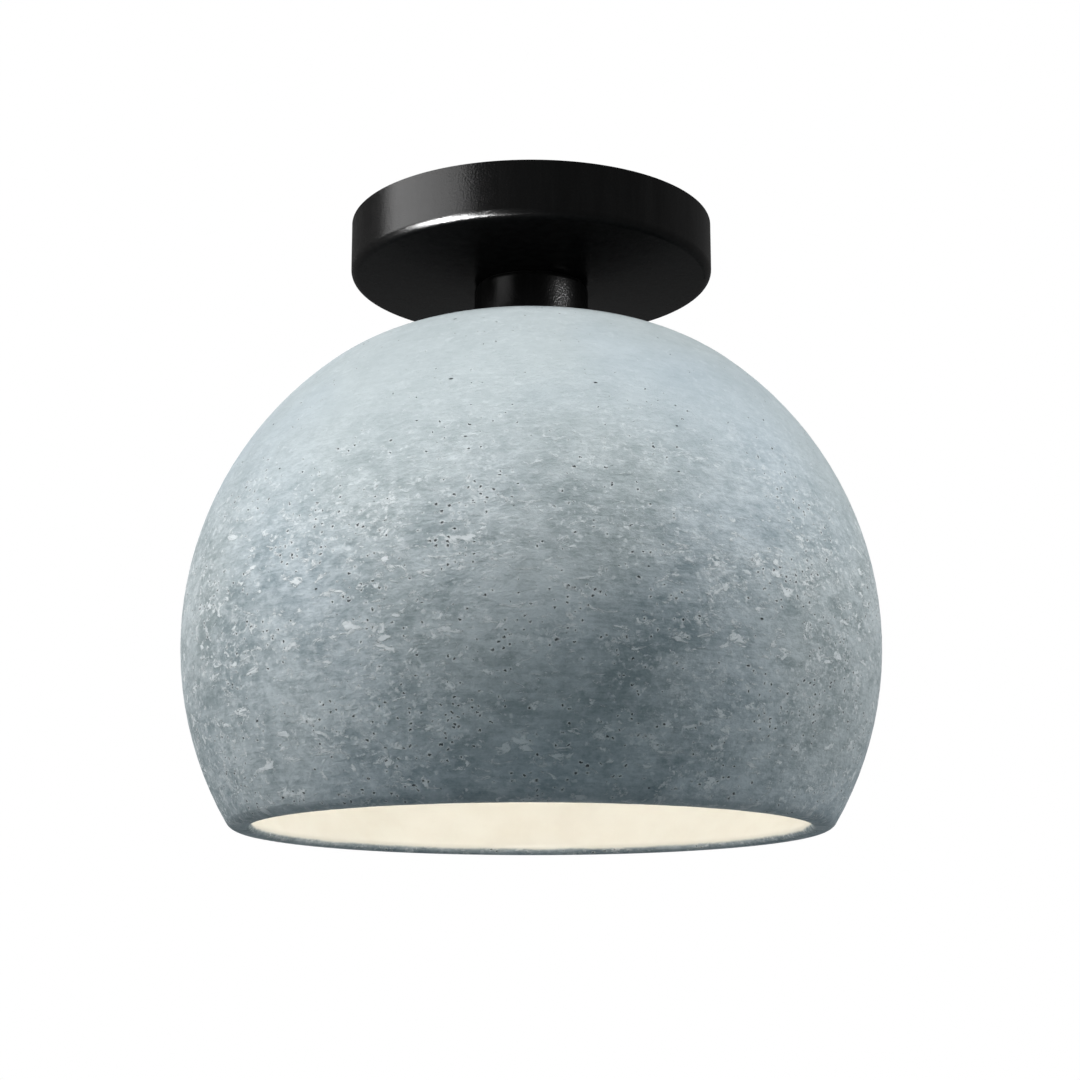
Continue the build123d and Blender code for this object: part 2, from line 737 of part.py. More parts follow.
with BuildPart() as lamp_insulator:
    with BuildSketch(Plane.XZ):
        with BuildLine():
            Polyline(
                (0, z_lamp_base_top - insulator_plug_depth),
                (insulator_foot_radius - 2 * base_wall, z_lamp_base_top - insulator_plug_depth),
                (insulator_foot_radius - 2 * base_wall, z_lamp_base_top),
                (insulator_foot_radius, z_lamp_base_top),
                (insulator_top_radius, z_insulator_top),
                (0, z_insulator_top),
                close=True,
            )
        make_face()
    revolve(axis=Axis.Z)
save(lamp_insulator, "lamp_insulator")

with BuildPart() as lamp_base:
    with BuildSketch(Plane.XZ):
        with BuildLine():
            FilletPolyline(
                (base_radius, z_lamp_base_foot),
                (base_radius, z_lamp_base_top - base_shoulder),
                (insulator_foot_radius, z_lamp_base_top),
                radius=base_shoulder,
            )
            offset(amount=base_wall, side=Side.LEFT)
        make_face()
    revolve(axis=Axis.Z)
save(lamp_base, "lamp_base")

collar_radius = base_radius - base_wall - thread_gap
z_neck_end = z_lamp_base_foot - housing_neck_length
with BuildPart() as lamp_housing:
    # the flare leaves the globe's own curve and turns smoothly into the neck
    with BuildSketch(Plane.XZ):
        with BuildLine():
            flare = TangentArc(
                (housing_rim_radius, z_housing_foot),
                (housing_neck_radius, z_neck_end),
                tangent=(-housing_slope, 1),
            )
            Line(flare @ 1, (housing_neck_radius, z_lamp_base_foot))
            offset(amount=housing_wall, side=Side.LEFT)
        make_face()
    revolve(axis=Axis.Z)
    with BuildSketch(Plane.XY.offset(z_neck_end)):
        Circle(collar_radius)
        Circle(collar_radius - housing_wall, mode=Mode.SUBTRACT)
    extrude(amount=housing_neck_length + collar_reach)
    # the rim is trimmed level
    with BuildSketch(Plane.XY.offset(z_housing_foot)):
        Circle(housing_rim_radius)
    extrude(amount=-housing_wall, mode=Mode.SUBTRACT)
save(lamp_housing, "lamp_housing")

inner_globe_radius = diffuser_radius - diffuser_wall
z_flange_under = z_housing_foot - diffuser_wall
flange_reach = sqrt(inner_globe_radius**2 - (z_flange_under - z_diffuser_centre) ** 2)
with BuildPart() as lamp_diffuser:
    with BuildSketch(Plane.XZ):
        with BuildLine():
            globe = TangentArc(
                (0, z_lamp_foot),
                (housing_rim_radius, z_housing_foot),
                tangent=(1, 0),
            )
            hollow = TangentArc(
                (0, z_lamp_foot + diffuser_wall),
                (flange_reach, z_flange_under),
                tangent=(1, 0),
            )
            Polyline(
                globe @ 1,
                (spigot_radius, z_housing_foot),
                (spigot_radius, z_housing_foot + spigot_height),
                (spigot_radius - spigot_wall, z_housing_foot + spigot_height),
                (spigot_radius - spigot_wall, z_flange_under),
                hollow @ 1,
            )
            Line(globe @ 0, hollow @ 0)
        make_face()
    revolve(axis=Axis.Z)
save(lamp_diffuser, "lamp_diffuser")

z_board = z_housing_foot + spigot_height
with BuildPart() as lamp_board:
    with BuildSketch(Plane.XY.offset(z_board)):
        Circle(board_radius)
    extrude(amount=board_thickness)
save(lamp_board, "lamp_board")

with BuildPart() as lamp_chips:
    with BuildSketch(Plane.XY.offset(z_board)):
        with PolarLocations(board_radius * chip_circle_share, chip_count):
            Rectangle(chip_length, chip_width)
    extrude(amount=-chip_thickness)
save(lamp_chips, "lamp_chips")
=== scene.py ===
import json
from functools import reduce
from math import cos, pi, radians, sin

import bmesh
import bpy
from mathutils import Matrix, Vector


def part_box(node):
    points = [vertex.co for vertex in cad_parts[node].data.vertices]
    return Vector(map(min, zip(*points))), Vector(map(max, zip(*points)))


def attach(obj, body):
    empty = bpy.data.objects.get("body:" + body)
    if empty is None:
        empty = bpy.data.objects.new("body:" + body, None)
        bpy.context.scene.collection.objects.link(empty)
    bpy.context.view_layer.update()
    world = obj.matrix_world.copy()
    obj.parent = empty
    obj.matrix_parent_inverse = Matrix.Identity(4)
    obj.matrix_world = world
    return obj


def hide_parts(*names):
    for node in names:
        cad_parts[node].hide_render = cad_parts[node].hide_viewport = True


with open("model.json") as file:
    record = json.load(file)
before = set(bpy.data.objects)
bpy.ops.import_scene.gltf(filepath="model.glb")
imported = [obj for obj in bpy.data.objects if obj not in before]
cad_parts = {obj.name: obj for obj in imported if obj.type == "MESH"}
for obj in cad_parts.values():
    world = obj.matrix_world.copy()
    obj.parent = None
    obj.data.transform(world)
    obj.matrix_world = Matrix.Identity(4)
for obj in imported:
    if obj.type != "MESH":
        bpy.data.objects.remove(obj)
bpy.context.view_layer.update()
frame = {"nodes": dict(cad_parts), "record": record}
nodes = frame["nodes"]

# A semi flush ceiling light. The CAD pieces keep their shapes and get procedural finishes here, and five
# of them are stood for by pieces that have threads or rolled turns. Lengths are in metres unless they are
# said to be in millimetres.
MM = 0.001


def added(name, data):
    """A new object in the scene."""
    thing = bpy.data.objects.new(name, data)
    bpy.context.scene.collection.objects.link(thing)
    return thing


# ---------------------------------------------------------------------------- places on the shade

shade_low, shade_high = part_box("shade")
CROWN = shade_high.z
GLOBE_CENTRE = -158.01 * MM  # the height of the shade's widest ring
GLAZE_EDGE = shade_high.x - 7.0 * MM  # how far from the globe's centre the glaze reaches on the rim
BELLY_TOP = -95.0 * MM  # from here down to the belly's foot the stoneware's marks get stronger
BELLY_FOOT = -150.0 * MM

# ---------------------------------------------------------------------------- camera, as in the photograph

CAMERA_PLACE = (0.0, -0.7589, -0.2921)
CAMERA_RISE = 12.86  # degrees that it looks up
CAMERA_LENS = 71.79  # millimetres, as is the sensor's width
CAMERA_SENSOR = 36.0
CAMERA_SHIFT = 0.0081  # of the picture's width

camera_data = bpy.data.cameras.new("camera")
camera_data.sensor_width = CAMERA_SENSOR
camera_data.lens = CAMERA_LENS
camera_data.shift_x = CAMERA_SHIFT
camera_data.clip_start = 0.05
camera_data.clip_end = 50.0
camera = added("camera", camera_data)
camera.location = CAMERA_PLACE
camera.rotation_euler = (radians(90 + CAMERA_RISE), 0.0, 0.0)
bpy.context.scene.camera = camera
bpy.context.scene.view_settings.view_transform = "Standard"

# ---------------------------------------------------------------------------- light

SOFTBOX_TARGET = (0.0, 0.0, -0.12)
SPOT_DISTANCE = 1.2
SPOT_RADIUS = 0.04  # softens the spots' shadows
FILL_COLOUR = (0.60, 0.88, 1.0)
FILL_STRENGTH = 0.125
WHITE = (1.0, 1.0, 1.0)
PAPER_GLOW = 0.72


def aimed(name, data, target, azimuth, elevation, distance):
    """A light that shines on its target. Azimuth 0 is in front of the fitting and 90 on its right."""
    turn, rise = radians(azimuth), radians(elevation)
    away = Vector((sin(turn) * cos(rise), -cos(turn) * cos(rise), sin(rise)))
    light = added(name, data)
    light.location = Vector(target) + distance * away
    light.rotation_euler = away.to_track_quat("Z", "Y").to_euler()
    return light


def softbox(name, azimuth, elevation, distance, width, height, brightness):
    """A rectangular light that the camera doesn't see. Its face has this brightness whatever its size."""
    data = bpy.data.lights.new(name, "AREA")
    data.shape = "RECTANGLE"
    data.size = width
    data.size_y = height
    data.energy = brightness * pi * width * height
    light = aimed(name, data, SOFTBOX_TARGET, azimuth, elevation, distance)
    light.visible_camera = False
    return light


def spot(name, azimuth, elevation, target, energy, cone, width=1.0):
    """A spot with a soft edge, and a cone in degrees that is oval when its width isn't 1."""
    data = bpy.data.lights.new(name, "SPOT")
    data.energy = energy
    data.spot_size = radians(cone)
    data.spot_blend = 1.0
    data.shadow_soft_size = SPOT_RADIUS
    light = aimed(name, data, target, azimuth, elevation, SPOT_DISTANCE)
    light.scale = (width, 1.0, 1.0)
    return light


def collection_of(name, node):
    """A collection with one piece in it, which a light can be linked to."""
    collection = bpy.data.collections.new(name)
    collection.objects.link(nodes[node])
    return collection


# azimuth, elevation and distance, width and height, brightness
softbox("overhead", 0, 84, 1.5, 1.2, 1.2, 0.22)
softbox("front_top", 2, 79, 1.5, 0.8, 0.5, 9.1)
softbox("left", -78, 26, 1.4, 0.8, 0.9, 6.4)
right = softbox("right", 92, 18, 1.5, 0.9, 1.1, 3.5)

# soft spots lift the shade's upper front and its two shoulders, and leave the middle of the belly dark:
# azimuth and elevation, target, energy, cone and width
spot("front_spot", 8, 35, (0.008, -0.110, -0.099), 27.5, 6.5, 2.4)
left_spot = spot("left_spot", -54, 8, (-0.060, -0.100, -0.152), 11.5, 7.4)
right_spot = spot("right_spot", 55, 15, (0.080, -0.085, -0.135), 8.8, 7.5)

# these would show as reflections on the black metal
for light in (right, left_spot, right_spot):
    light.visible_glossy = False

# three lights exist only as reflections: a sheen and a glint on the canopy, and a stripe on the neck
canopy_only = collection_of("canopy_only", "canopy")
sheen = softbox("sheen", -70, 24, 1.2, 1.25, 0.5, 34.0)
glint = softbox("glint", -57, -27, 1.2, 0.7, 1.3, 640.0)
neck_only = collection_of("neck_only", "neck_tube")
neck_sheen = softbox("neck_sheen", 62, 4, 1.4, 0.6, 0.5, 430.0)
for light, receivers in ((sheen, canopy_only), (glint, canopy_only), (neck_sheen, neck_only)):
    light.light_linking.receiver_collection = receivers
    light.visible_diffuse = False

# the lamp's own glow rides at the lamp's middle, and only the shade blocks it, so it passes the opal shell
diffuser_low, diffuser_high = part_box("lamp_diffuser")
glow_data = bpy.data.lights.new("lamp_glow", "POINT")
glow_data.energy = 0.2
glow_data.color = (1.0, 0.995, 0.96)
glow_data.shadow_soft_size = 0.0  # a point, as a soft light's brightness changed with the other lights
glow = added("lamp_glow", glow_data)
glow.location = (diffuser_low + diffuser_high) / 2
glow.visible_camera = False
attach(glow, "lamp")
glow.light_linking.blocker_collection = collection_of("shade_only", "shade")


def seen_rays(tree):
    """1 for rays from the camera, reflected or through glass, and 0 for those that only light things."""
    rays = tree.nodes.new("ShaderNodeLightPath").outputs
    seen = rays["Is Camera Ray"]
    for kind in ("Is Glossy Ray", "Is Transmission Ray"):
        either = tree.nodes.new("ShaderNodeMath")
        either.operation = "MAXIMUM"
        tree.links.new(seen, either.inputs[0])
        tree.links.new(rays[kind], either.inputs[1])
        seen = either.outputs[0]
    return seen


def background(tree, colour, strength):
    """A plain background colour of the world."""
    node = tree.nodes.new("ShaderNodeBackground")
    node.inputs["Color"].default_value = (*colour, 1.0)
    node.inputs["Strength"].default_value = strength
    return node.outputs[0]


# the world lights things with a dim blue fill, and is white where it is seen
world = bpy.data.worlds.new("studio")
world.use_nodes = True
bpy.context.scene.world = world
sky = world.node_tree
sky.nodes.clear()
both = sky.nodes.new("ShaderNodeMixShader")
sky.links.new(seen_rays(sky), both.inputs[0])
sky.links.new(background(sky, FILL_COLOUR, FILL_STRENGTH), both.inputs[1])
sky.links.new(background(sky, WHITE, 1.0), both.inputs[2])
sky_output = sky.nodes.new("ShaderNodeOutputWorld")
sky.links.new(both.outputs[0], sky_output.inputs["Surface"])

# ---------------------------------------------------------------------------- materials


class Finish:
    """A procedural material. Its patterns are laid out in metres, in the frame of the CAD model."""

    def __init__(self, name):
        self.material = bpy.data.materials.new(name)
        self.material.use_nodes = True
        self.tree = self.material.node_tree
        self.shader = self.tree.nodes["Principled BSDF"]
        self.coordinates = self.add("ShaderNodeTexCoord")
        self.place = self.coordinates.outputs["Object"]

    def add(self, kind, **settings):
        """A new node with these settings."""
        node = self.tree.nodes.new(kind)
        for key, value in settings.items():
            setattr(node, key, value)
        return node

    def feed(self, socket, value):
        """Links a socket, or gives it a plain value."""
        if isinstance(value, bpy.types.NodeSocket):
            self.tree.links.new(value, socket)
        else:
            socket.default_value = value

    def set(self, **values):
        """Feeds the shader's inputs, with _ for the spaces in their names."""
        for key, value in values.items():
            self.feed(self.shader.inputs[key.replace("_", " ")], value)

    def scaled(self, x, y, z, shift=(0.0, 0.0, 0.0)):
        """The place, scaled and shifted: patterns get finer along an axis whose factor is above 1."""
        node = self.add("ShaderNodeMapping")
        self.feed(node.inputs["Vector"], self.place)
        node.inputs["Scale"].default_value = (x, y, z)
        node.inputs["Location"].default_value = shift
        return node.outputs["Vector"]

    def noise(self, scale, detail, rough, place=None, distortion=0.0, output="Fac"):
        """Cloudy noise, with about as many clouds to the metre as its scale."""
        node = self.add("ShaderNodeTexNoise")
        self.feed(node.inputs["Vector"], place or self.place)
        node.inputs["Scale"].default_value = scale
        node.inputs["Detail"].default_value = detail
        node.inputs["Roughness"].default_value = rough
        node.inputs["Distortion"].default_value = distortion
        return node.outputs[output]

    def scatter(self, density, place):
        """Scattered points: the distance to the nearest one, and a random number that belongs to it."""
        node = self.add("ShaderNodeTexVoronoi")
        self.feed(node.inputs["Vector"], place)
        node.inputs["Scale"].default_value = density
        return node.outputs["Distance"], self.axes(node.outputs["Color"])[0]

    def math(self, operation, first, second):
        node = self.add("ShaderNodeMath", operation=operation)
        self.feed(node.inputs[0], first)
        self.feed(node.inputs[1], second)
        return node.outputs[0]

    def sum(self, first, second):
        return self.math("ADD", first, second)

    def less(self, first, second):
        return self.math("SUBTRACT", first, second)

    def times(self, first, second):
        return self.math("MULTIPLY", first, second)

    def most(self, first, second):
        return self.math("MAXIMUM", first, second)

    def weighted(self, *parts):
        """The sum of several patterns, each given with its weight."""
        return reduce(self.sum, [self.times(pattern, weight) for pattern, weight in parts])

    def vector(self, operation, first, second=(0.0, 0.0, 0.0), output="Vector"):
        """The same as math, on vectors."""
        node = self.add("ShaderNodeVectorMath", operation=operation)
        self.feed(node.inputs[0], first)
        self.feed(node.inputs[1], second)
        return node.outputs[output]

    def axes(self, vector):
        """The three parts of a vector or a colour."""
        node = self.add("ShaderNodeSeparateXYZ")
        self.feed(node.inputs[0], vector)
        return node.outputs

    def spread(self, value, low, high, to_low=0.0, to_high=1.0):
        """Maps low to to_low and high to to_high, and goes no further at either end."""
        node = self.add("ShaderNodeMapRange", clamp=True)
        for socket, given in zip(node.inputs, (value, low, high, to_low, to_high)):
            self.feed(socket, given)
        return node.outputs["Result"]

    def mix(self, amount, first, second):
        """One colour at 0, the other at 1."""
        node = self.add("ShaderNodeMix", data_type="RGBA")
        self.feed(node.inputs["Factor"], amount)
        colours = [socket for socket in node.inputs if socket.type == "RGBA"]
        for socket, value in zip(colours, (first, second)):
            self.feed(socket, (*value, 1.0) if isinstance(value, tuple) else value)
        return next(socket for socket in node.outputs if socket.type == "RGBA")

    def bump(self, height, depth, strength, under=None):
        """Relief from a pattern, on top of the relief under it where there is one."""
        node = self.add("ShaderNodeBump")
        self.feed(node.inputs["Height"], height)
        self.feed(node.inputs["Strength"], strength)
        node.inputs["Distance"].default_value = depth
        if under is not None:
            self.feed(node.inputs["Normal"], under)
        return node.outputs["Normal"]


def plated(name, light, dark, stain, rough, grain):
    """Bare or plated metal: cloudy plating, fine scratches along the grain, and duller stained patches."""
    look = Finish(name)
    cloud = look.noise(140, 4, 0.6)
    scratch = look.noise(1500, 3, 0.6, look.scaled(*grain))
    wear = look.noise(420, 5, 0.65, look.scaled(1, 1, 1, (3.1, 1.7, 0.4)))
    marks = look.weighted((scratch, 0.55), (wear, 0.45))
    colour = look.mix(look.spread(cloud, 0.32, 0.68), dark, light)
    look.set(
        Base_Color=look.mix(look.spread(wear, 0.52, 0.72, 0.0, 0.55), colour, stain),
        Metallic=1.0,
        Roughness=look.spread(marks, 0.3, 0.7, rough * 0.65, rough * 1.45),
        Normal=look.bump(marks, 0.03 * MM, 0.5),
    )
    return look.material


def moulded(name, light, dark, rough, grain_scale=1600, depth=0.02 * MM, coat=0.0):
    """Moulded or fired surface: slight shade changes, fine grain and faint handling marks."""
    look = Finish(name)
    shade = look.noise(70, 3, 0.55)
    grain = look.noise(grain_scale, 3, 0.6)
    marks = look.noise(300, 5, 0.6, look.scaled(1, 1, 2.5, (0.3, 0.2, 0.9)))
    tone = look.weighted((shade, 0.6), (marks, 0.4))
    look.set(
        Base_Color=look.mix(look.spread(tone, 0.35, 0.65), dark, light),
        Roughness=look.spread(marks, 0.35, 0.7, rough * 0.8, rough * 1.3),
        Normal=look.bump(grain, depth, 0.6),
        Coat_Weight=coat,
        Coat_Roughness=0.06,
    )
    return look.material


def black_paint():
    """Black powder coat: orange peel, faint streaks down the sides, and grey overspray out of sight."""
    look = Finish("black_metal")
    facing_x, facing_y, facing_up = look.axes(look.coordinates.outputs["Normal"])
    x, y, _ = look.axes(look.place)
    # a face's distance from the axis, times how far it looks outward: the hidden inside looks inward or up
    outward = look.sum(look.times(facing_x, x), look.times(facing_y, y))
    inward = look.spread(outward, -0.03, -0.02, 1.0, 0.0)
    hidden = look.most(inward, look.spread(facing_up, 0.5, 0.8))
    overspray = look.times(hidden, look.spread(look.noise(90, 7, 0.72), 0.38, 0.72))
    streak = look.spread(look.noise(260, 5, 0.6, look.scaled(1, 1, 0.12)), 0.35, 0.65)
    paint = look.mix(streak, (0.0040, 0.0039, 0.0039), (0.0075, 0.0072, 0.0071))
    peel = look.bump(look.noise(1500, 2, 0.5), 0.09 * MM, 0.9)
    skin = look.bump(look.noise(150, 3, 0.5), 0.3 * MM, 0.12, peel)
    look.set(
        Base_Color=look.mix(look.times(overspray, 0.55), paint, (0.07, 0.07, 0.072)),
        Roughness=0.5,
        Specular_IOR_Level=0.0,
        Normal=skin,
        Coat_Weight=0.07,
        Coat_Roughness=0.2,
        Coat_Normal=skin,
    )
    return look.material


# the stoneware's pale flecks besides the colours of its clouds, painted highlight and painted shade for the
# pin holes, and a darker band at the rim
PALE_CLAY = (0.86, 0.89, 0.90)
PAINTED_HOLE_HIGHLIGHT = (0.82, 0.85, 0.86)
PAINTED_HOLE_SHADE = (0.022, 0.025, 0.028)
RIM_DARKER = (0.16, 0.19, 0.21)


def clay(look, marks):
    """The bare stoneware's colour, and two of its patterns for the relief."""
    cloud = look.noise(22, 4, 0.55)
    mottle = look.noise(100, 8, 0.72, look.scaled(1, 1, 1.7))
    streak = look.noise(190, 5, 0.6, look.scaled(0.45, 0.45, 2.4))
    fine = look.noise(420, 4, 0.7, look.scaled(0.8, 0.8, 1.5))
    line = look.noise(900, 3, 0.5, look.scaled(0.06, 0.06, 1.6))
    blotch = look.noise(70, 7, 0.7, look.scaled(1, 1, 1.5, (0.0, 6.0, 2.0)), 0.4)
    tone = look.weighted(
        (cloud, 0.7), (mottle, 1.0), (streak, 0.3), (fine, 0.75), (line, 0.26), (blotch, 0.85)
    )
    middle = 1.915  # about half of the weights' sum
    tone = look.times(look.less(tone, middle), marks)
    hue = look.spread(look.noise(9, 2, 0.5, look.scaled(1, 1, 1, (5.3, 0.0, 2.2))), 0.4, 0.6)
    light = look.mix(hue, (0.595, 0.652, 0.688), (0.605, 0.654, 0.668))
    dark = look.mix(hue, (0.262, 0.325, 0.362), (0.295, 0.342, 0.352))
    return look.mix(look.spread(tone, -0.34, 0.34), dark, light), mottle, fine


def pale_flecks(look, height, marks):
    """Pale clay: small wisps and dots in drifts, and bolder wisps of grog that grow towards the belly."""
    wisp = look.noise(150, 8, 0.78, look.scaled(1, 1, 1.5, (2.0, 1.0, 0.0)), 0.25)
    dot = look.noise(380, 4, 0.6, look.scaled(1, 1, 1.4, (0.0, 2.0, 5.0)))
    fleck = look.most(look.spread(wisp, 0.52, 0.63, 0.0, 0.8), look.spread(dot, 0.55, 0.67))
    drift = look.noise(30, 3, 0.5, look.scaled(1, 1, 1.6, (0.0, 4.1, 1.0)))
    fleck = look.times(fleck, look.times(look.spread(drift, 0.43, 0.60, 0.10, 0.66), marks))
    grog = look.noise(170, 6, 0.72, look.scaled(0.8, 0.8, 1.6, (9.0, 3.0, 1.0)), 0.5)
    grog = look.sum(grog, look.spread(height, -112.0 * MM, BELLY_FOOT, -0.018, 0.014))
    strength = look.spread(height, -100.0 * MM, BELLY_FOOT, 0.2, 1.4)
    return look.most(fleck, look.times(look.spread(grog, 0.58, 0.63), strength))


def spots(look, away, width, inner, outer, faint, full):
    """Round spots, which end between two shares of their width and are fainter below the full width."""
    spot = look.spread(away, look.times(width, inner), look.times(width, outer), 1.0, 0.0)
    return look.times(spot, look.spread(width, faint, full))


def holes(look, marks):
    """Irregular pin holes in loose groups and a few larger pits, painted dark as painted shade, and pale
    rings round the pin holes as painted highlights.
    """
    group = look.noise(42, 4, 0.65, look.scaled(1, 1, 1.3, (7.7, 0.0, 3.0)))
    group = look.times(look.spread(group, 0.40, 0.64, 0.0, 0.46), look.spread(marks, 0.32, 1.4, 0.5, 1.4))
    bend = look.vector("SUBTRACT", look.noise(1000, 3, 0.6, output="Color"), (0.5, 0.5, 0.5))
    bend = look.vector("MULTIPLY", bend, (2.2 * MM, 2.2 * MM, 1.6 * MM))
    away, luck = look.scatter(520, look.vector("ADD", look.scaled(1, 1, 1.12), bend))
    width = look.spread(look.sum(luck, group), 0.82, 1.20, 0.0, 0.26)
    pin = spots(look, away, width, inner=0.6, outer=1.0, faint=0.04, full=0.08)
    # a pale ring round each pin hole: a painted highlight on its edge
    hole_highlight = spots(look, away, width, inner=1.0, outer=2.4, faint=0.09, full=0.14)
    hole_highlight = look.times(look.less(hole_highlight, pin), look.spread(marks, 0.27, 1.2, 0.15, 0.85))
    away, luck = look.scatter(260, look.scaled(0.75, 0.75, 1.35))
    width = look.spread(luck, 0.93, 1.0, 0.0, 0.16)
    pit = spots(look, away, width, inner=0.55, outer=1.0, faint=0.02, full=0.05)
    return look.most(pin, pit), hole_highlight


def outer_side(look, height):
    """1 on the shade's outside and 0 on its glazed inside. Near the crown, height tells them apart."""
    arm = look.vector("SUBTRACT", look.place, (0.0, 0.0, GLOBE_CENTRE))
    reach = look.vector("LENGTH", arm, output="Value")
    uneven = look.times(look.noise(60, 4, 0.6), 1.2 * MM)
    past_edge = look.spread(look.sum(reach, uneven), GLAZE_EDGE, GLAZE_EDGE + 0.6 * MM)
    on_crown = look.spread(height, CROWN - 4.6 * MM, CROWN - 4.0 * MM)
    return look.most(past_edge, on_crown)


def stoneware():
    """Grey stoneware outside, with clouds, lines, pale flecks and holes, the holes darkened by painted shade
    and ringed by painted highlights; a smooth cream glaze inside.
    """
    look = Finish("stoneware")
    height = look.axes(look.place)[2]
    marks = look.spread(height, BELLY_TOP, BELLY_FOOT, 0.27, 1.45)  # how strong the marks are
    colour, mottle, fine = clay(look, marks)
    fleck = pale_flecks(look, height, marks)
    hole, hole_highlight = holes(look, marks)
    colour = look.mix(look.times(fleck, 0.72), colour, PALE_CLAY)
    # pale rings round the pin holes: painted highlights on their edges
    colour = look.mix(hole_highlight, colour, PAINTED_HOLE_HIGHLIGHT)
    # the pin holes and pits painted near-black: painted shade inside them
    colour = look.mix(look.times(hole, 0.85), colour, PAINTED_HOLE_SHADE)
    # a little darker in a band just above the rim, where the outside rounds under to it
    rim = look.spread(height, shade_low.z + 1.5 * MM, shade_low.z + 6.0 * MM, 0.30, 0.0)
    colour = look.mix(rim, colour, RIM_DARKER)
    cream = look.spread(look.noise(50, 4, 0.55), 0.35, 0.65)
    glaze = look.mix(cream, (0.84, 0.80, 0.73), (0.88, 0.85, 0.785))
    relief = look.weighted((mottle, 0.5), (fine, 0.4), (fleck, 0.12), (hole, -1.2))
    outside = outer_side(look, height)
    look.set(
        Base_Color=look.mix(outside, glaze, colour),
        Roughness=look.spread(outside, 0.0, 1.0, 0.32, 0.82),
        Normal=look.bump(relief, 1.0 * MM, look.spread(outside, 0.0, 1.0, 0.03, 0.9)),
        Specular_IOR_Level=0.3,
    )
    return look.material


def opal():
    """Opal plastic, lit warm from inside and dimmer towards its top, where it meets the housing."""
    look = Finish("opal")
    height = look.axes(look.place)[2]
    rise = look.spread(height, diffuser_low.z, diffuser_high.z)
    haze = look.noise(90, 3, 0.5)
    glow = look.mix(look.spread(rise, 0.45, 1.0), (1.0, 0.97, 0.91), (0.84, 0.77, 0.68))
    look.set(
        Base_Color=look.mix(look.spread(haze, 0.4, 0.6), (0.88, 0.85, 0.79), (0.93, 0.90, 0.84)),
        Roughness=0.36,
        Emission_Color=look.mix(look.spread(haze, 0.4, 0.6, 0.0, 0.12), glow, (1.0, 0.975, 0.93)),
        Emission_Strength=look.spread(rise, 0.0, 0.55, 0.58, 0.28),
        Normal=look.bump(look.noise(1800, 2, 0.5), 0.01 * MM, 0.5),
    )
    return look.material


def phosphor():
    """Yellow phosphor over the chips, glowing."""
    look = Finish("phosphor")
    dots = look.noise(3000, 3, 0.6)
    look.set(
        Base_Color=look.mix(look.spread(dots, 0.35, 0.65), (0.80, 0.60, 0.13), (0.88, 0.72, 0.25)),
        Roughness=0.55,
        Emission_Color=(1.0, 0.84, 0.62, 1.0),
        Emission_Strength=1.5,
        Normal=look.bump(dots, 0.05 * MM, 0.5),
    )
    return look.material


def paper():
    """Pale floor paper, which glows where it is seen, so that it is nearly as white as the world."""
    look = Finish("floor_paper")
    grain = look.noise(3, 3, 0.5)
    look.set(
        Base_Color=look.mix(grain, (0.80, 0.80, 0.80), (0.84, 0.84, 0.84)),
        Emission_Color=look.mix(grain, (0.97, 0.97, 0.97), WHITE),
        Emission_Strength=look.times(seen_rays(look.tree), PAPER_GLOW),
        Roughness=0.9,
    )
    return look.material


# how finely scratches are packed along each axis: they run along an axis that has a small factor
EVEN = (1.0, 1.0, 1.0)
ALONG_X = (0.1, 1.0, 1.0)
ALONG_Z = (1.0, 1.0, 0.1)
ACROSS_X = (1.0, 0.12, 0.12)

PLATED = {
    # light, dark and stained colour, roughness, grain
    "zinc_steel": ((0.56, 0.57, 0.58), (0.42, 0.43, 0.45), (0.44, 0.41, 0.33), 0.38, ACROSS_X),
    "green_steel": ((0.06, 0.34, 0.11), (0.03, 0.20, 0.06), (0.32, 0.42, 0.30), 0.36, EVEN),
    "shell_brass": ((0.78, 0.60, 0.29), (0.62, 0.46, 0.20), (0.42, 0.28, 0.13), 0.25, ALONG_Z),
    "contact_brass": ((0.80, 0.60, 0.24), (0.66, 0.47, 0.17), (0.45, 0.30, 0.13), 0.28, ALONG_X),
    "nickel_plate": ((0.72, 0.70, 0.66), (0.58, 0.56, 0.52), (0.50, 0.47, 0.42), 0.24, ALONG_Z),
}
MOULDED = {
    # light and dark colour, roughness, and where they matter the grain's scale and depth and the coat
    "black_rubber": ((0.035, 0.035, 0.036), (0.018, 0.018, 0.018), 0.8, 2200, 0.06 * MM),
    "porcelain": ((0.86, 0.85, 0.82), (0.78, 0.77, 0.73), 0.22, 260, 0.06 * MM, 0.7),
    "black_glass": ((0.022, 0.022, 0.024), (0.012, 0.012, 0.012), 0.16, 500, 0.05 * MM, 0.3),
    "white_plastic": ((0.84, 0.84, 0.82), (0.79, 0.785, 0.76), 0.42),
    "board_metal": ((0.88, 0.88, 0.86), (0.80, 0.80, 0.78), 0.4, 2400),
}
finishes = {name: plated(name, *values) for name, values in PLATED.items()}
finishes.update({name: moulded(name, *values) for name, values in MOULDED.items()})
finishes.update(black_metal=black_paint(), stoneware=stoneware(), phosphor=phosphor(), opal=opal())

slot_of = {part["node"]: part["material_slot"] for part in frame["record"]["subparts"]}
for name, thing in nodes.items():
    for slot in thing.material_slots:
        slot.material = finishes[slot_of[name]]

# ---------------------------------------------------------------------------- turned and threaded pieces

# Everything here is in millimetres. A ring of a turned piece is (radius, height, thread depth, flats), and
# flats is the width across a hexagon's flats, or 0 for a round ring.

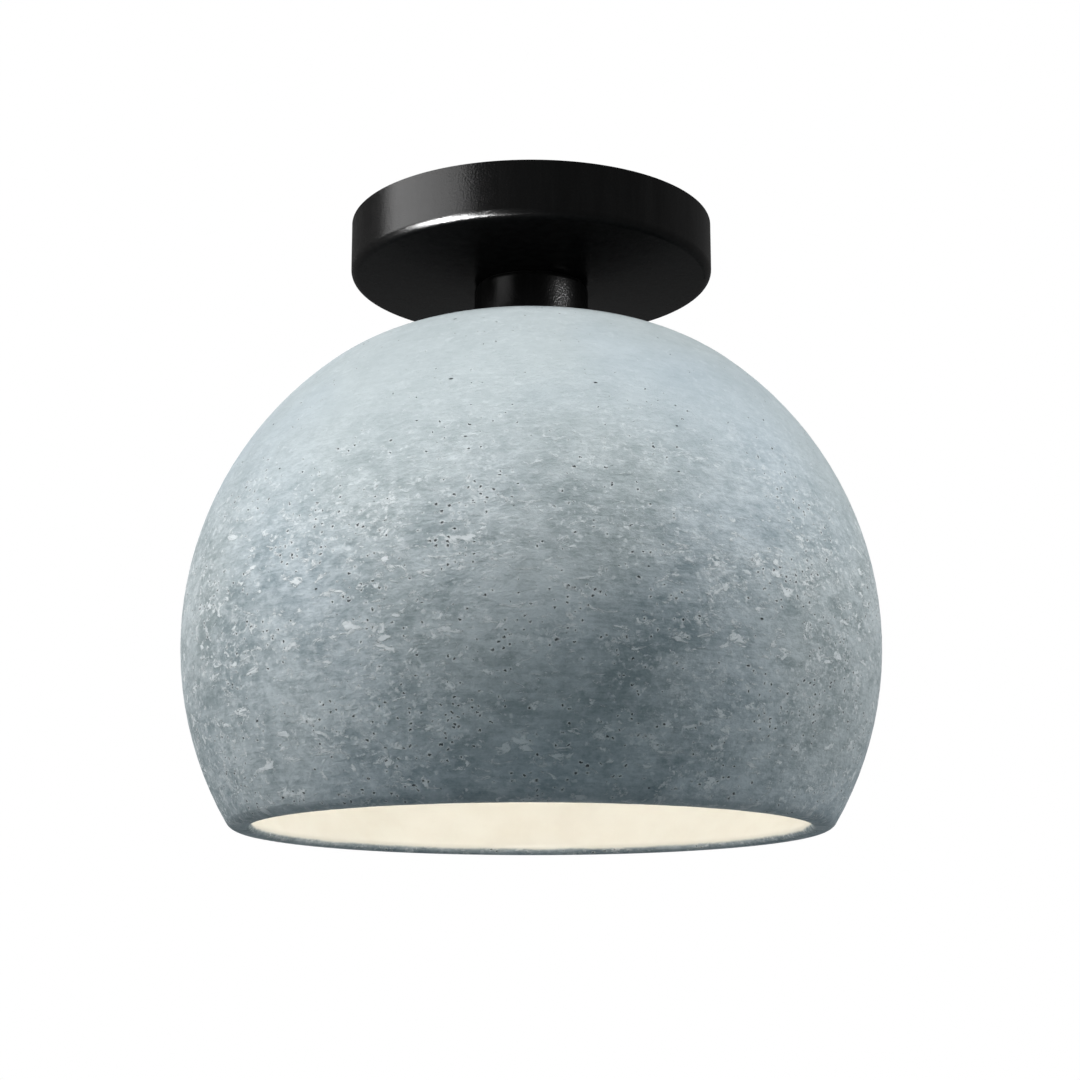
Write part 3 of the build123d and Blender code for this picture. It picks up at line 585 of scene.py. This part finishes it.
STUD_SPACING = 88.9  # between the two screws of a ceiling box
SCREW_PITCH = 0.79  # 32 turns to the inch
NIPPLE_PITCH = 0.94  # 27 turns to the inch
LAMP_PITCH = 3.63  # 7 turns to the inch
SCREW_DEPTH = 0.42  # from a screw thread's crest to its root
MERGED = 0.0001  # points that are nearer than this become one
SHARP_ANGLE = 35  # degrees between two faces that meet in a sharp edge


def ends(node):
    """The heights of a piece's foot and top."""
    low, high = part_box(node)
    return low.z / MM, high.z / MM


def plain(*points, flats=0.0):
    """Rings without a thread, each from its (radius, height)."""
    return [(radius, height, 0.0, flats) for radius, height in points]


def threaded(start, end, radius, depth, pitch, rings_per_turn=6):
    """Rings of one threaded run, whose thread fades in and out over its first and last half turn."""
    count = int((end - start) / pitch * rings_per_turn)
    rings = []
    for step in range(count + 1):
        height = start + (end - start) * step / count
        fade = min(1.0, abs(height - start) / (pitch / 2), abs(height - end) / (pitch / 2))
        rings.append((radius, height, depth * fade, 0.0))
    return rings


def inner_side(turns, wall):
    """The same turns on the inner face of a rolled wall, from the last one back."""
    return [(radius - wall, height, depth, 0.0) for radius, height, depth, _ in reversed(turns)]


def across(flats, angle):
    """Distance from a hexagon's middle to its edge, in this direction."""
    side = pi / 3
    return flats / 2 / cos((angle + side / 2) % side - side / 2)


def ridge(phase, sharp):
    """How deep a thread is at this part of its pitch, 0 at the crest and 1 at the root."""
    if sharp:
        return min(abs(2 * phase - 1) * 1.25, 1.0)  # flat at the root, over a fifth of the pitch
    return (1 + cos(2 * pi * phase)) / 2


def as_mesh(name, shape):
    """Mesh data from a bmesh, which is freed."""
    data = bpy.data.meshes.new(name)
    shape.to_mesh(data)
    shape.free()
    return data


def turned(name, node, rings, pitch, segments, centre_x=0.0, sharp=True, closed=False):
    """
    Faces through the rings, round an upright axis. The thread is sharp, or round on a rolled piece. A closed
    piece's last ring meets its first.
    """
    shape = bmesh.new()
    grid = []
    for radius, height, depth, flats in rings:
        row = []
        for step in range(segments):
            angle = 2 * pi * step / segments
            reach = min(radius, across(flats, angle)) if flats else radius
            reach -= depth * ridge((height / pitch - step / segments) % 1.0, sharp)
            x, y = centre_x + reach * cos(angle), reach * sin(angle)
            row.append(shape.verts.new((x * MM, y * MM, height * MM)))
        grid.append(row)
    spans = list(zip(grid, grid[1:]))
    if closed:
        spans.append((grid[-1], grid[0]))
    for one, other in spans:
        for step in range(segments):
            beside = (step + 1) % segments
            shape.faces.new((one[step], one[beside], other[beside], other[step]))
    bmesh.ops.remove_doubles(shape, verts=shape.verts, dist=MERGED * MM)
    bmesh.ops.recalc_face_normals(shape, faces=shape.faces)
    data = as_mesh(name, shape)
    data.materials.append(finishes[slot_of[node]])
    data.shade_smooth()
    data.set_sharp_from_angle(angle=radians(SHARP_ANGLE))
    return added(name, data)


def grooved(thing, blocks):
    """Cuts boxes, each (centre, size), out of a piece."""
    shape = bmesh.new()
    for centre, size in blocks:
        corners = bmesh.ops.create_cube(shape, size=1.0)["verts"]
        bmesh.ops.scale(shape, verts=corners, vec=[side * MM for side in size])
        bmesh.ops.translate(shape, verts=corners, vec=[place * MM for place in centre])
    cutter = added("cutter", as_mesh("cutter", shape))
    cut = thing.modifiers.new("slots", "BOOLEAN")
    cut.operation = "DIFFERENCE"
    cut.solver = "EXACT"
    cut.use_self = True
    cut.object = cutter
    bpy.context.view_layer.update()
    evaluated = thing.evaluated_get(bpy.context.evaluated_depsgraph_get())
    done = bpy.data.meshes.new_from_object(evaluated)
    thing.modifiers.clear()
    thing.data = done
    bpy.data.objects.remove(cutter)
    return thing


def joined(name, things):
    """Several meshes as one piece, with the first one's material."""
    shape = bmesh.new()
    for thing in things:
        shape.from_mesh(thing.data)
    data = things[0].data.copy()
    shape.to_mesh(data)
    shape.free()
    for thing in things:
        bpy.data.objects.remove(thing)
    return added(name, data)


def stands_for(thing, node, body="fixture"):
    """Puts a piece in the place of a CAD node."""
    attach(thing, body)
    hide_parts(node)


def hollow_nipple():
    """Threaded rod with a bore for the wires and bevelled ends."""
    foot, top = ends("nipple")
    radius, bore, bevel = 5.0, 3.5, 0.6
    rings = plain((bore, foot), (radius - bevel, foot))
    rings += threaded(foot + bevel, top - bevel, radius, 0.52, NIPPLE_PITCH)
    rings += plain((radius - bevel, top), (bore, top))
    nipple = turned("nipple_threaded", "nipple", rings, NIPPLE_PITCH, 40, closed=True)
    stands_for(nipple, "nipple")


def ceiling_screw(name, x):
    """Pan head screw, head down, with a cross recess."""
    head, end = ends("box_screws")
    seat, shank, corner, corner_radius = -2.0, 1.8, 2.4, 1.5
    rings = plain((0.0, head), (2.1, head))
    for turn in (10, 30, 50, 70, 90):
        out, down = corner_radius * sin(radians(turn)), corner_radius * cos(radians(turn))
        rings += plain((corner + out, head + corner_radius - down))
    rings += plain((corner + corner_radius, seat), (shank, seat), (shank, 0.0))
    rings += threaded(0.2, end - 0.8, 2.08, SCREW_DEPTH, SCREW_PITCH)
    rings += plain((1.35, end), (0.0, end))
    screw = turned(name, "box_screws", rings, SCREW_PITCH, 32, x)
    cross = [((x, 0, head), (4.3, 1.1, 2.6)), ((x, 0, head), (1.1, 4.3, 2.6))]
    return grooved(screw, cross)


def ceiling_screws():
    """Both box screws, as one piece."""
    reach = STUD_SPACING / 2
    pair = [ceiling_screw("screw_left", -reach), ceiling_screw("screw_right", reach)]
    stands_for(joined("box_screws_threaded", pair), "box_screws")


def green_screw():
    """Slotted hexagon screw with a flange under its head, head down."""
    head, end = ends("ground_screw")
    x, seat, flange, corner = -20.0, -2.0, 4.8, 3.7
    hexagon_end = seat - 0.9
    rings = plain((0.0, head))
    rings += plain((corner - 0.5, head), (corner, head + 0.35), (corner, hexagon_end), flats=6.4)
    rings += plain((flange - 0.2, hexagon_end), (flange, hexagon_end + 0.2), (flange, seat), (2.0, seat))
    rings += threaded(seat + 0.1, end - 0.8, 2.4, SCREW_DEPTH, SCREW_PITCH)
    rings += plain((1.6, end), (0.0, end))
    screw = turned("ground_screw_threaded", "ground_screw", rings, SCREW_PITCH, 36, x)
    stands_for(grooved(screw, [((x, 0, head), (9.0, 1.1, 2.6))]), "ground_screw")


def rolled_shell():
    """The lampholder's shell: rolled turns under a rounded floor with a hole in it."""
    foot, top = ends("screw_shell")
    outer, wall, hole = 13.8, 0.38, 6.6
    inner = outer - wall
    turns = threaded(foot + 2.0, top - 2.2, outer, 0.34, LAMP_PITCH, 10)
    rings = plain((outer, foot + 0.3))
    rings += turns
    rings += plain((outer, top - 0.8), (13.56, top - 0.24), (13.0, top), (hole, top))
    rings += plain((hole, top - 0.4), (13.0, top - 0.4), (13.3, top - 0.55), (inner, top - 0.9))
    rings += inner_side(turns, wall)
    rings += plain((inner, foot + 0.3), (13.5, foot), (13.7, foot))
    shell = turned("screw_shell_rolled", "screw_shell", rings, LAMP_PITCH, 64, sharp=False, closed=True)
    stands_for(shell, "screw_shell")


def rolled_base():
    """The lamp's screw base: a crimped foot, rolled turns and a shoulder that closes in at the top."""
    foot, top = ends("lamp_base")
    outer, crimp, wall = 13.1, 12.95, 0.35
    inner = outer - wall
    turns = threaded(foot + 5.2, top - 1.9, outer, 0.75, LAMP_PITCH, 12)
    rings = plain((outer, foot), (outer, foot + 0.8))
    rings += plain((crimp, foot + 1.0), (crimp, foot + 1.3), (outer, foot + 1.5))
    rings += turns
    rings += plain((13.0, top - 1.5), (12.6, top - 0.9), (11.9, top - 0.35), (11.0, top))
    rings += plain((10.75, top - 0.3), (11.7, top - 0.65), (12.3, top - 1.15), (12.65, top - 1.7))
    rings += inner_side(turns, wall)
    rings += plain((inner, foot + 1.5), (inner, foot))
    base = turned("lamp_base_rolled", "lamp_base", rings, LAMP_PITCH, 72, sharp=False, closed=True)
    stands_for(base, "lamp_base", "lamp")


hollow_nipple()
ceiling_screws()
green_screw()
rolled_shell()
rolled_base()

# ---------------------------------------------------------------------------- floor, far below the light

FLOOR_HEIGHT = -2.3
FLOOR_RADIUS = 6.0

disc = bmesh.new()
bmesh.ops.create_circle(disc, cap_ends=True, segments=96, radius=FLOOR_RADIUS)
floor = added("floor", as_mesh("floor", disc))
floor.location = (0.0, 0.0, FLOOR_HEIGHT)
floor.data.materials.append(paper())
